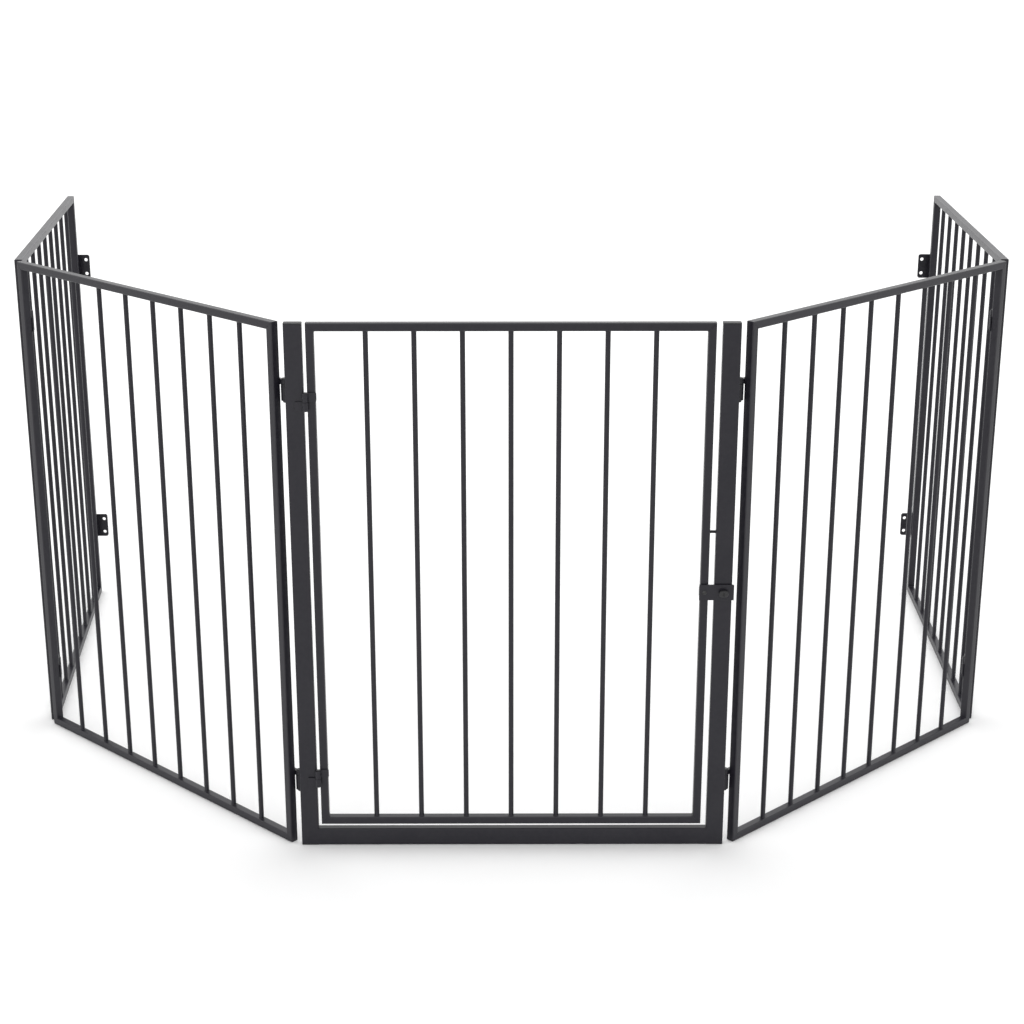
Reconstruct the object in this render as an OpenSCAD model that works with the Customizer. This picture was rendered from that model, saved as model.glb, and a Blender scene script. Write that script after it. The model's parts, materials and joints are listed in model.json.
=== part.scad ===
// Five-panel folding hearth gate: a centre frame with a barred door, a side panel hinged on each
// side of it, and a wall panel hinged to each side panel, which a pair of swivel brackets fastens.
// Origin: underside of the sill, middle of its width and depth. +X right, +Y towards the wall, +Z up.

/* [Overall] */
// Height of the whole gate
gate_h = 750; // [600:1:950]
// Width of the centre frame over its posts
centre_w = 592; // [460:1:760]
// Length of each side panel and each wall panel
panel_w = 584; // [460:1:720]

/* [Stance] */
// Fold of the left side panel behind the centre frame's line, in degrees
left_inner_fold = 43.5; // [0:0.1:60]
// Fold of the left wall panel behind its side panel's line, in degrees
left_outer_fold = 42.1; // [0:0.1:60]
// Fold of the right side panel behind the centre frame's line, in degrees
right_inner_fold = 43.3; // [0:0.1:60]
// Fold of the right wall panel behind its side panel's line, in degrees
right_outer_fold = 44.6; // [0:0.1:60]

/* [Tubes] */
// Depth of every tube, front to back
tube_d = 12; // [10:0.5:16]
// Face width of the tubes that frame the door and the panels
rim_w = 11; // [9:0.5:16]
// Face width of the centre frame's posts
post_w = 24; // [20:0.5:36]
// Height of the sill
sill_h = 25; // [16:0.5:40]
// Wall of the door and panel tubes
rim_wall = 1; // [0.8:0.1:1.3]
// Wall of the posts and the sill
post_wall = 1.2; // [1:0.1:1.5]
// Outside corner radius of every tube
corner_r = 1.6; // [1.4:0.1:2.4]
// Thickness of the plugs that close the posts
plug_t = 1.5; // [1:0.1:3]
// How far a plug reaches into its post
plug_depth = 8; // [4:0.5:15]
// Radial clearance of a plug in its post
plug_clear = 0.1; // [0.05:0.05:0.3]

/* [Bars] */
// Diameter of the upright bars
bar_d = 7; // [5:0.5:8]
// Distance between neighbouring bars
bar_pitch = 62.8; // [50:0.1:64]

/* [Door] */
// Gap between the door and the hinge post
door_hinge_gap = 4.5; // [4:0.1:8]
// Gap between the door and the latch post
door_latch_gap = 8; // [5:0.5:10]
// Gap between the door and the sill
door_sill_gap = 7; // [3:0.5:15]
// Outside radius of the door hinge knuckles
knuckle_r = 4; // [3.5:0.1:5]
// Radius of the door hinge pins
door_pin_r = 2.45; // [2:0.05:2.6]
// Height of each door hinge knuckle
knuckle_h = 12; // [8:0.5:20]
// Thickness of the wings that carry the knuckles
wing_t = 2; // [1.5:0.1:3]
// Length of each wing on its post or stile
wing_len = 12; // [8:0.5:14]
// Height of the lower door hinge above the floor
door_hinge_low_z = 105; // [80:1:150]
// Distance of the upper door hinge below the top
door_hinge_top_drop = 104; // [80:1:150]
// Distance of the stop pin below the top
stop_drop = 289; // [200:1:300]
// Radius of the stop pin where it lies on the post
stop_root_r = 2.4; // [2:0.1:3]
// Radius of the stop pin behind the door
stop_tip_r = 2; // [1.5:0.1:2.5]

/* [Latch] */
// Distance of the latch below the top
latch_drop = 370; // [320:1:400]
// Height of the latch strap
strap_h = 22; // [16:0.5:30]
// Thickness of the latch strap
strap_t = 2.5; // [1.5:0.1:4]
// How far the strap runs past the latch post
strap_lip = 2.2; // [1:0.1:4]
// How far the strap runs past the door's stile
strap_heel = 1.5; // [0.5:0.1:3]
// Length of the oval thumb knob
knob_len = 13; // [12:0.5:18]
// Height of the oval thumb knob
knob_h = 9; // [7:0.5:11]
// How far the knob stands off the strap
knob_t = 7; // [4:0.5:12]
// Radius of the knob's spindle
spindle_r = 2; // [1.5:0.1:2.5]
// Length of the bar across the spindle's end
tee_len = 13; // [8:0.5:14]
// Clearance around the bar in the post's slot
slot_clear = 1; // [0.5:0.1:1.5]

/* [Panel hinges] */
// Gap between panels that hang in line
hinge_gap = 4; // [3:0.1:8]
// Height of each hinge eye
eye_h = 22; // [14:0.5:30]
// Radius of the hook pin
hook_r = 2.95; // [2.5:0.05:3.2]
// Wall of the eye around its bore
eye_wall = 2.2; // [1.6:0.1:2.6]
// Length of the leaf and the arm that hold the hinge
leaf_len = 13; // [10:0.5:18]
// Thickness of the hook's arm
arm_t = 7; // [3:0.5:8]
// How far the hook pin reaches below its eye
hook_tail = 3; // [2:0.5:10]
// Height of the lower panel hinges above the floor
hinge_low_z = 90; // [60:1:150]
// Distance of the upper panel hinges below the top
hinge_top_drop = 96; // [60:1:150]

/* [Wall brackets] */
// Height of each bracket plate
bracket_h = 43; // [36:0.5:60]
// Reach of the bracket plate from its swivel axis
bracket_reach = 24; // [20:0.5:40]
// Thickness of the bracket plate
bracket_t = 2.5; // [2:0.1:4]
// Corner radius of the bracket plate
bracket_corner_r = 4; // [2:0.5:6]
// Distance of the swivel axis beyond the end of the panel
swivel_off = 7; // [6.5:0.1:12]
// Outside radius of the bracket's knuckle
swivel_r = 5; // [4.8:0.1:6]
// Radius of the swivel pin
swivel_pin_r = 2.95; // [2.5:0.05:3]
// Thickness of the lugs above and below the knuckle
lug_t = 3; // [2:0.5:5]
// Radius of the screw holes
screw_r = 3; // [2:0.1:3.5]
// Distance between the two screw holes
screw_pitch = 25; // [18:0.5:28]
// Distance of the screw holes from the plate's free edge
screw_edge = 6.3; // [5.5:0.1:8]
// Distance of the brackets from the floor and from the top
bracket_end = 129; // [100:1:200]

/* [Hidden] */
$fn = 64;
LEFT = -1;
RIGHT = 1;
POWDER = "#2f2f33";
STEEL = "#6a6a6e";
PLASTIC = "#232326";
face_y = tube_d / 2;
running = 0.05;
turn_gap = 0.3;
pin_head_t = 1.2;
pin_head_over = 1;
// Door: its rim fills the opening less the three gaps
door_x0 = -centre_w / 2 + post_w + door_hinge_gap;
door_w = centre_w - 2 * post_w - door_hinge_gap - door_latch_gap;
door_x1 = door_x0 + door_w;
door_z0 = sill_h + door_sill_gap;
door_h = gate_h - door_z0;
post_x = centre_w / 2 - post_w / 2;
post_tube_h = gate_h - 2 * plug_t;
// Door hinge: the axis stands in the middle of the gap, just in front of the frame
door_axis_x = door_x0 - door_hinge_gap / 2;
door_axis_y = -(face_y + knuckle_r + turn_gap);
door_hinge_zs = [door_hinge_low_z, gate_h - door_hinge_top_drop];
knuckle_gap = 0.5;
// Latch: the strap stands off the post by the thickness of its foot
latch_z = gate_h - latch_drop;
strap_foot = 0.5;
strap_back_y = -(face_y + strap_foot);
strap_front_y = strap_back_y - strap_t;
knob_x = post_x;
tee_y = -face_y + post_wall + spindle_r + 0.4;
knob_neck_t = 1.5;
knob_neck_r = 3.5;
heel_h = 12;
rivet_r = 3;
rivet_t = 1.2;
stop_z = gate_h - stop_drop;
// Panel hinge: the axis stands in the middle of the gap, behind the panels
eye_bore_r = hook_r + running;
eye_r = eye_bore_r + eye_wall;
pivot_y = face_y + eye_r + turn_gap;
pivot_x = centre_w / 2 + hinge_gap / 2;
hinge_zs = [hinge_low_z, gate_h - hinge_top_drop];
arm_lift = 0.5;
// Wall bracket: the knuckle stands behind the end of the wall panel
swivel_bore_r = swivel_pin_r + running;
lug_r = swivel_r - 0.3;
lug_lift = 0.3;
bracket_low_z = bracket_end;
bracket_high_z = gate_h - bracket_end;
bracket_zs = [bracket_low_z, bracket_high_z];

// ---- Sections ----

// A rectangle with round corners, centred
module round_rect(w, h, r) {
    square([w - 2 * r, h], center = true);
    square([w, h - 2 * r], center = true);
    for (x = [-1, 1], y = [-1, 1])
        translate([x * (w / 2 - r), y * (h / 2 - r)]) circle(r);
}

// The section of a rectangular tube, centred
module tube_section(w, h, wall) {
    difference() {
        round_rect(w, h, corner_r);
        round_rect(w - 2 * wall, h - 2 * wall, max(corner_r - wall, 0.2));
    }
}

// ---- Rim: the four mitred tubes that frame the door and each panel ----

// A tube along +X from the origin, its outer edge on z = 0, mitred towards +Z at both ends
module mitred_tube(length) {
    outline = [[0, 0], [length, 0], [length - rim_w, rim_w], [rim_w, rim_w]];
    intersection() {
        translate([0, 0, rim_w / 2]) rotate([90, 0, 90])
            linear_extrude(length) tube_section(tube_d, rim_w, rim_wall);
        rotate([90, 0, 0])
            linear_extrude(2 * tube_d, center = true) polygon(outline);
    }
}

// The rim's own origin is its lower left corner, at the middle of its depth
module rim_bottom(w) {
    color(POWDER) mitred_tube(w);
}

module rim_top(w, h) {
    color(POWDER) translate([0, 0, h]) mirror([0, 0, 1]) mitred_tube(w);
}

module rim_left(h) {
    color(POWDER) mirror([1, 0, 0]) rotate([0, -90, 0]) mitred_tube(h);
}

module rim_right(w, h) {
    color(POWDER) translate([w, 0, 0]) rotate([0, -90, 0]) mitred_tube(h);
}

// The bars stand at the pitch, centred between the stiles, with about a pitch left at each end
module rim_bars(w, h) {
    count = round((w - 2 * rim_w) / bar_pitch) - 1;
    first = w / 2 - (count - 1) * bar_pitch / 2;
    color(POWDER)
        for (i = [0 : count - 1])
            translate([first + i * bar_pitch, 0, rim_w]) cylinder(h = h - 2 * rim_w, d = bar_d);
}

// ---- Placing: each body's own frame, with its end at x = 0 ----

module on_side(side) {
    mirror([side == LEFT ? 1 : 0, 0, 0]) children();
}

// Turns about a hinge at the pivot, then steps to the end of the panel that hangs on it
module hinged(at_x, at_y, fold) {
    translate([at_x, at_y, 0]) rotate([0, 0, fold])
        translate([hinge_gap / 2, -pivot_y, 0]) children();
}

module on_side_panel(side) {
    fold = side == LEFT ? left_inner_fold : right_inner_fold;
    on_side(side) hinged(pivot_x, pivot_y, fold) children();
}

module on_wall_panel(side) {
    fold = side == LEFT ? left_outer_fold : right_outer_fold;
    on_side_panel(side) hinged(panel_w + hinge_gap / 2, pivot_y, fold) children();
}

module on_door() {
    translate([door_x0, 0, door_z0]) children();
}

// ---- Centre frame ----

module post_tube() {
    translate([0, 0, plug_t]) linear_extrude(post_tube_h) tube_section(post_w, tube_d, post_wall);
}

module left_post() {
    color(POWDER) translate([-post_x, 0, 0]) post_tube();
}

// The latch post has a slot in its front wall for the bar of the latch
module right_post() {
    slot_w = tee_len + 2 * slot_clear;
    slot_h = 2 * (spindle_r + slot_clear);
    color(POWDER) difference() {
        translate([post_x, 0, 0]) post_tube();
        translate([post_x, -face_y, latch_z])
            cube([slot_w, 3 * post_wall, slot_h], center = true);
    }
}

module sill() {
    length = centre_w - 2 * post_w;
    color(POWDER) translate([-length / 2, 0, sill_h / 2]) rotate([90, 0, 90])
        linear_extrude(length) tube_section(tube_d, sill_h, post_wall);
}

// A plug in each end of each post: a cap as large as the tube and a block inside it
module post_plugs() {
    inset = post_wall + plug_clear;
    color(PLASTIC)
        for (x = [-post_x, post_x], end = [0, 1])
            translate([x, 0, end * gate_h]) mirror([0, 0, end]) {
                linear_extrude(plug_t) round_rect(post_w, tube_d, corner_r);
                linear_extrude(plug_t + plug_depth)
                    round_rect(post_w - 2 * inset, tube_d - 2 * inset, 0.5);
            }
}

// The pin behind the latch side that stops the door from opening inwards
module door_stop_pin() {
    pin_y = face_y + stop_root_r;
    root_x = door_x1 + door_latch_gap + 1;
    color(POWDER) translate([root_x, pin_y, stop_z]) {
        rotate([0, 90, 0]) cylinder(h = post_w * 0.7, r = stop_root_r);
        rotate([0, -90, 0]) cylinder(h = door_latch_gap + rim_w - 2, r = stop_tip_r);
    }
}

// ---- Door hinges: a knuckle and pin on the post, and a knuckle on the door that lifts off ----

// A knuckle round the origin with a wing on its side dir, on the front of the frame
module winged_knuckle(dir, bore_r) {
    wing_y = -door_axis_y - face_y - wing_t;
    difference() {
        union() {
            cylinder(h = knuckle_h, r = knuckle_r);
            translate([dir > 0 ? 0 : -wing_len - 2, wing_y, 0])
                cube([wing_len + 2, wing_t, knuckle_h]);
        }
        translate([0, 0, -1]) cylinder(h = knuckle_h + 2, r = bore_r);
    }
}

module at_door_hinges() {
    for (z = door_hinge_zs) translate([door_axis_x, door_axis_y, z]) children();
}

module door_hinge_lower_knuckles() {
    color(POWDER) at_door_hinges()
        translate([0, 0, -knuckle_h - knuckle_gap / 2]) winged_knuckle(-1, door_pin_r);
}

module door_hinge_upper_knuckles() {
    color(POWDER) at_door_hinges()
        translate([0, 0, knuckle_gap / 2]) winged_knuckle(1, door_pin_r + running);
}

module door_hinge_pins() {
    color(STEEL) at_door_hinges()
        translate([0, 0, -knuckle_h - knuckle_gap / 2])
            cylinder(h = 2 * knuckle_h + knuckle_gap + 1, r = door_pin_r);
}

// ---- Door ----

module door_hinge_stile() {
    on_door() rim_left(door_h);
}

module door_latch_stile() {
    on_door() rim_right(door_w, door_h);
}

module door_top_rail() {
    on_door() rim_top(door_w, door_h);
}

module door_bottom_rail() {
    on_door() rim_bottom(door_w);
}

module door_bars() {
    on_door() rim_bars(door_w, door_h);
}

// ---- Latch ----

// The strap: a foot on the stile, a plate across the gap and the post, a heel and a flared tip
module latch_strap() {
    heel_x = door_x1 - rim_w - strap_heel;
    tip_x = centre_w / 2;
    color(POWDER) difference() {
        union() {
            translate([heel_x, strap_front_y, latch_z - strap_h / 2])
                cube([tip_x - heel_x, strap_t, strap_h]);
            translate([door_x1 - rim_w, strap_back_y, latch_z - strap_h / 2])
                cube([rim_w, strap_foot, strap_h]);
            translate([heel_x, strap_front_y, latch_z - heel_h / 2])
                cube([strap_heel - 0.1, strap_t + strap_foot + 5, heel_h]);
            translate([tip_x, strap_back_y, latch_z - strap_h / 2])
                linear_extrude(strap_h) strap_tip();
        }
        translate([knob_x, 0, latch_z]) rotate([90, 0, 0])
            cylinder(h = 4 * tube_d, r = spindle_r + running);
    }
}

// The tip bends a little forward, so a finger can get behind it
module strap_tip() {
    flare = 1.2;
    polygon([[0, 0], [strap_lip, -flare], [strap_lip, -flare - strap_t], [0, -strap_t]]);
}

module latch_rivet() {
    color(STEEL) translate([door_x1 - rim_w / 2, strap_front_y, latch_z])
        rotate([90, 0, 0]) cylinder(h = rivet_t, r = rivet_r);
}

module latch_knob() {
    straight = knob_len - knob_h;
    color(PLASTIC) translate([knob_x, strap_front_y - turn_gap, latch_z]) rotate([90, 0, 0]) {
        cylinder(h = knob_neck_t, r = knob_neck_r);
        translate([0, 0, knob_neck_t]) linear_extrude(knob_t - knob_neck_t) {
            square([straight, knob_h], center = true);
            for (x = [-1, 1]) translate([x * straight / 2, 0]) circle(d = knob_h);
        }
    }
}

module latch_spindle() {
    start_y = strap_front_y - turn_gap;
    color(STEEL) {
        translate([knob_x, tee_y, latch_z]) rotate([90, 0, 0])
            cylinder(h = tee_y - start_y, r = spindle_r);
        translate([knob_x - tee_len / 2, tee_y, latch_z]) rotate([0, 90, 0])
            cylinder(h = tee_len, r = spindle_r);
    }
}

// ---- Panel hinges: eyes on one body, hooks on the next, the hook pins dropping into the eyes ----

// Eyes with their leaves towards -X, their axis at x = 0 in the frame of the body that holds them
module eyes() {
    leaf_y = face_y - pivot_y;
    for (z = hinge_zs) translate([0, pivot_y, z - eye_h / 2]) difference() {
        union() {
            cylinder(h = eye_h, r = eye_r);
            translate([-leaf_len - 1, leaf_y, 0]) cube([leaf_len + 1, eye_wall, eye_h]);
        }
        translate([0, 0, -1]) cylinder(h = eye_h + 2, r = eye_bore_r);
    }
}

module hook_arms() {
    arm_y = face_y - pivot_y;
    for (z = hinge_zs) translate([-hinge_gap / 2, pivot_y, z + eye_h / 2 + arm_lift]) difference() {
        union() {
            cylinder(h = arm_t, r = eye_r);
            translate([0, arm_y, 0]) cube([leaf_len, -arm_y, arm_t]);
        }
        translate([0, 0, -1]) cylinder(h = arm_t + 2, r = hook_r);
    }
}

module hook_pins() {
    for (z = hinge_zs) translate([-hinge_gap / 2, pivot_y, z - eye_h / 2 - hook_tail]) {
        cylinder(h = hook_tail + eye_h + arm_lift + arm_t, r = hook_r);
        translate([0, 0, hook_tail + eye_h + arm_lift + arm_t])
            cylinder(h = pin_head_t, r = hook_r + pin_head_over);
    }
}

module post_eyes(side) {
    color(POWDER) on_side(side) translate([pivot_x, 0, 0]) eyes();
}

module side_eyes(side) {
    color(POWDER) on_side_panel(side) translate([panel_w + hinge_gap / 2, 0, 0]) eyes();
}

module side_hook_arms(side) {
    color(POWDER) on_side_panel(side) hook_arms();
}

module side_hook_pins(side) {
    color(STEEL) on_side_panel(side) hook_pins();
}

module wall_hook_arms(side) {
    color(POWDER) on_wall_panel(side) hook_arms();
}

module wall_hook_pins(side) {
    color(STEEL) on_wall_panel(side) hook_pins();
}

// ---- Wall brackets ----

// Lugs above and below each bracket's knuckle, on the end of the wall panel
module bracket_lugs(side) {
    color(POWDER) on_wall_panel(side)
        for (z = bracket_zs, end = [-1, 1])
            translate([panel_w, 0, z + end * (bracket_h / 2 + lug_lift + lug_t / 2) - lug_t / 2])
                difference() {
                    union() {
                        translate([0, -lug_r, 0]) cube([swivel_off, 2 * lug_r, lug_t]);
                        translate([swivel_off, 0, 0]) cylinder(h = lug_t, r = lug_r);
                    }
                    translate([swivel_off, 0, -1]) cylinder(h = lug_t + 2, r = swivel_pin_r);
                }
}

module bracket_pins(side) {
    length = bracket_h + 2 * (lug_lift + lug_t);
    color(STEEL) on_wall_panel(side)
        for (z = bracket_zs) translate([panel_w + swivel_off, 0, z - length / 2]) {
            cylinder(h = length, r = swivel_pin_r);
            for (end = [-pin_head_t, length]) translate([0, 0, end])
                cylinder(h = pin_head_t, r = swivel_pin_r + pin_head_over);
        }
}

// A plate that lies on the wall, with two screw holes, and a knuckle along its outer edge
module bracket(side, z) {
    fold = side == LEFT ? left_inner_fold + left_outer_fold : right_inner_fold + right_outer_fold;
    color(POWDER) on_wall_panel(side)
        translate([panel_w + swivel_off, 0, z]) rotate([0, 0, -fold]) difference() {
            union() {
                translate([0, 0, -bracket_h / 2]) cylinder(h = bracket_h, r = swivel_r);
                translate([0, swivel_r, 0]) rotate([90, 0, 0])
                    linear_extrude(bracket_t) bracket_outline();
            }
            translate([0, 0, -bracket_h]) cylinder(h = 2 * bracket_h, r = swivel_bore_r);
            for (end = [-1, 1])
                translate([-bracket_reach + screw_edge, 0, end * screw_pitch / 2])
                    rotate([-90, 0, 0]) cylinder(h = 2 * swivel_r, r = screw_r);
        }
}

module bracket_outline() {
    flat_w = bracket_reach - bracket_corner_r;
    translate([-flat_w, -bracket_h / 2]) square([flat_w, bracket_h]);
    translate([-bracket_reach, -bracket_h / 2 + bracket_corner_r])
        square([bracket_reach, bracket_h - 2 * bracket_corner_r]);
    for (end = [-1, 1])
        translate([-flat_w, end * (bracket_h / 2 - bracket_corner_r)]) circle(bracket_corner_r);
}

// ---- The gate ----

left_post();
right_post();
sill();
post_plugs();
post_eyes(LEFT);  // left_post_eyes
post_eyes(RIGHT);  // right_post_eyes
door_hinge_lower_knuckles();
door_hinge_pins();
door_stop_pin();

door_hinge_stile();
door_latch_stile();
door_top_rail();
door_bottom_rail();
door_bars();
door_hinge_upper_knuckles();
latch_strap();
latch_rivet();
latch_knob();
latch_spindle();

on_side_panel(LEFT) rim_left(gate_h);  // left_side_inner_stile
on_side_panel(LEFT) rim_right(panel_w, gate_h);  // left_side_outer_stile
on_side_panel(LEFT) rim_top(panel_w, gate_h);  // left_side_top_rail
on_side_panel(LEFT) rim_bottom(panel_w);  // left_side_bottom_rail
on_side_panel(LEFT) rim_bars(panel_w, gate_h);  // left_side_bars
side_hook_arms(LEFT);  // left_side_hook_arms
side_hook_pins(LEFT);  // left_side_hook_pins
side_eyes(LEFT);  // left_side_eyes

on_wall_panel(LEFT) rim_left(gate_h);  // left_wall_inner_stile
on_wall_panel(LEFT) rim_right(panel_w, gate_h);  // left_wall_outer_stile
on_wall_panel(LEFT) rim_top(panel_w, gate_h);  // left_wall_top_rail
on_wall_panel(LEFT) rim_bottom(panel_w);  // left_wall_bottom_rail
on_wall_panel(LEFT) rim_bars(panel_w, gate_h);  // left_wall_bars
wall_hook_arms(LEFT);  // left_wall_hook_arms
wall_hook_pins(LEFT);  // left_wall_hook_pins
bracket_lugs(LEFT);  // left_wall_bracket_lugs
bracket_pins(LEFT);  // left_wall_bracket_pins

on_side_panel(RIGHT) rim_left(gate_h);  // right_side_inner_stile
on_side_panel(RIGHT) rim_right(panel_w, gate_h);  // right_side_outer_stile
on_side_panel(RIGHT) rim_top(panel_w, gate_h);  // right_side_top_rail
on_side_panel(RIGHT) rim_bottom(panel_w);  // right_side_bottom_rail
on_side_panel(RIGHT) rim_bars(panel_w, gate_h);  // right_side_bars
side_hook_arms(RIGHT);  // right_side_hook_arms
side_hook_pins(RIGHT);  // right_side_hook_pins
side_eyes(RIGHT);  // right_side_eyes

on_wall_panel(RIGHT) rim_left(gate_h);  // right_wall_inner_stile
on_wall_panel(RIGHT) rim_right(panel_w, gate_h);  // right_wall_outer_stile
on_wall_panel(RIGHT) rim_top(panel_w, gate_h);  // right_wall_top_rail
on_wall_panel(RIGHT) rim_bottom(panel_w);  // right_wall_bottom_rail
on_wall_panel(RIGHT) rim_bars(panel_w, gate_h);  // right_wall_bars
wall_hook_arms(RIGHT);  // right_wall_hook_arms
wall_hook_pins(RIGHT);  // right_wall_hook_pins
bracket_lugs(RIGHT);  // right_wall_bracket_lugs
bracket_pins(RIGHT);  // right_wall_bracket_pins

bracket(LEFT, bracket_high_z);  // left_upper_bracket
bracket(LEFT, bracket_low_z);  // left_lower_bracket
bracket(RIGHT, bracket_high_z);  // right_upper_bracket
bracket(RIGHT, bracket_low_z);  // right_lower_bracket
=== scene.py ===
"""Looks for a five-panel folding hearth gate: welded bar panels in black powder coat, hook hinges,
a latch and wall brackets, standing on a pale studio floor."""

import json
import logging
import math
from dataclasses import dataclass, field
from enum import Enum
from typing import Any, Iterable, Sequence

import bmesh
import bpy
from mathutils import Matrix, Vector

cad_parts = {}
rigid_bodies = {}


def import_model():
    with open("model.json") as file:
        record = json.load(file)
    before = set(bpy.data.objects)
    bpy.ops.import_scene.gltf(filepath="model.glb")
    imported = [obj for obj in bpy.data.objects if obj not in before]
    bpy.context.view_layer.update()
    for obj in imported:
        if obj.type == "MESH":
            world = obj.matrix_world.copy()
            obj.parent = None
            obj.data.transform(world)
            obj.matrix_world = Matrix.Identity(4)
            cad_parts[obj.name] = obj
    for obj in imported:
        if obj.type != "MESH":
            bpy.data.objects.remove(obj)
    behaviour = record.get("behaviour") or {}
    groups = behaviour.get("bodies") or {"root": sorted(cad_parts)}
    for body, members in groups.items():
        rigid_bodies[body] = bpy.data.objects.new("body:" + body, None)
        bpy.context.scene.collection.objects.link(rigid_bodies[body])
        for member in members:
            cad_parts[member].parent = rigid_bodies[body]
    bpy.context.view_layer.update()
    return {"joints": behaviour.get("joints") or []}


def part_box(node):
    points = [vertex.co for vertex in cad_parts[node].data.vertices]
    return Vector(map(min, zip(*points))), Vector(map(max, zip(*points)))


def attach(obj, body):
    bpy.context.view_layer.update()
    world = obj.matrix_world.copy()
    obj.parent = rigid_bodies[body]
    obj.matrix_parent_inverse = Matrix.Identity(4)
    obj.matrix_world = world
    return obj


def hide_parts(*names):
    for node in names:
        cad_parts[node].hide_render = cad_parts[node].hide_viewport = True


LOG = logging.getLogger("hearth_gate")
MM = 0.001
MERGE_DIST = 1e-6
FLAT_ANGLE = math.radians(1.0)
SHARP_ANGLE = math.radians(38.0)
CREASE_ANGLE = math.radians(62.0)
TURN = 2 * math.pi
RUB = "rub"
NOISE_ROUGHNESS = 0.55
# A weld bead: its faces round, its puddles' spacing in radii, and each puddle's outline as a share
# of the way along it and of the radius
BEAD_STEPS = 10
PUDDLE_PITCH = 1.9
PUDDLE_OUTLINE = ((0.14, 0.90), (0.38, 0.99), (0.68, 1.0), (0.93, 0.93))
WELD_MARGIN = 1.0 * MM


class Side(Enum):
    """Which side of the gate a panel hangs on, with the sign of its X."""

    LEFT = -1
    RIGHT = 1

    @property
    def word(self) -> str:
        """The side's name as the nodes spell it."""
        return self.name.lower()


class Kind(Enum):
    """Whether a panel hangs on a post or on another panel."""

    SIDE = "side"
    WALL = "wall"


# ---- Shader writing ----


class Value:
    """A number socket that can be used in Python expressions, each of which adds its Math node."""

    def __init__(self, bench: "Bench", socket: bpy.types.NodeSocket) -> None:
        """Wraps a socket.

        Args:
            bench: The bench whose tree the socket belongs to.
            socket: An output socket that carries a number.
        """
        self.bench = bench
        self.socket = socket

    def _math(self, operation: str, first: Any, second: Any, clamp: bool = False) -> "Value":
        """Adds one Math node.

        Args:
            operation: The Math node's operation.
            first: A number, a socket or a Value.
            second: A number, a socket or a Value.
            clamp: Whether the result is kept between 0 and 1.

        Returns:
            The node's result.
        """
        settings = {"operation": operation, "use_clamp": clamp}
        made = self.bench.node("ShaderNodeMath", settings, {0: first, 1: second})
        return Value(self.bench, made.outputs[0])

    def __add__(self, other: Any) -> "Value":
        """Sum."""
        return self._math("ADD", self, other)

    def __radd__(self, other: Any) -> "Value":
        """Sum with the number on the left."""
        return self._math("ADD", other, self)

    def __sub__(self, other: Any) -> "Value":
        """Difference."""
        return self._math("SUBTRACT", self, other)

    def __rsub__(self, other: Any) -> "Value":
        """Difference from the number on the left."""
        return self._math("SUBTRACT", other, self)

    def __mul__(self, other: Any) -> "Value":
        """Product."""
        return self._math("MULTIPLY", self, other)

    def __rmul__(self, other: Any) -> "Value":
        """Product with the number on the left."""
        return self._math("MULTIPLY", other, self)

    def __lt__(self, other: Any) -> "Value":
        """1 where this value is the smaller one, otherwise 0."""
        return self._math("LESS_THAN", self, other)

    def clamped(self) -> "Value":
        """This value kept between 0 and 1."""
        return self._math("ADD", self, 0.0, clamp=True)


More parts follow.
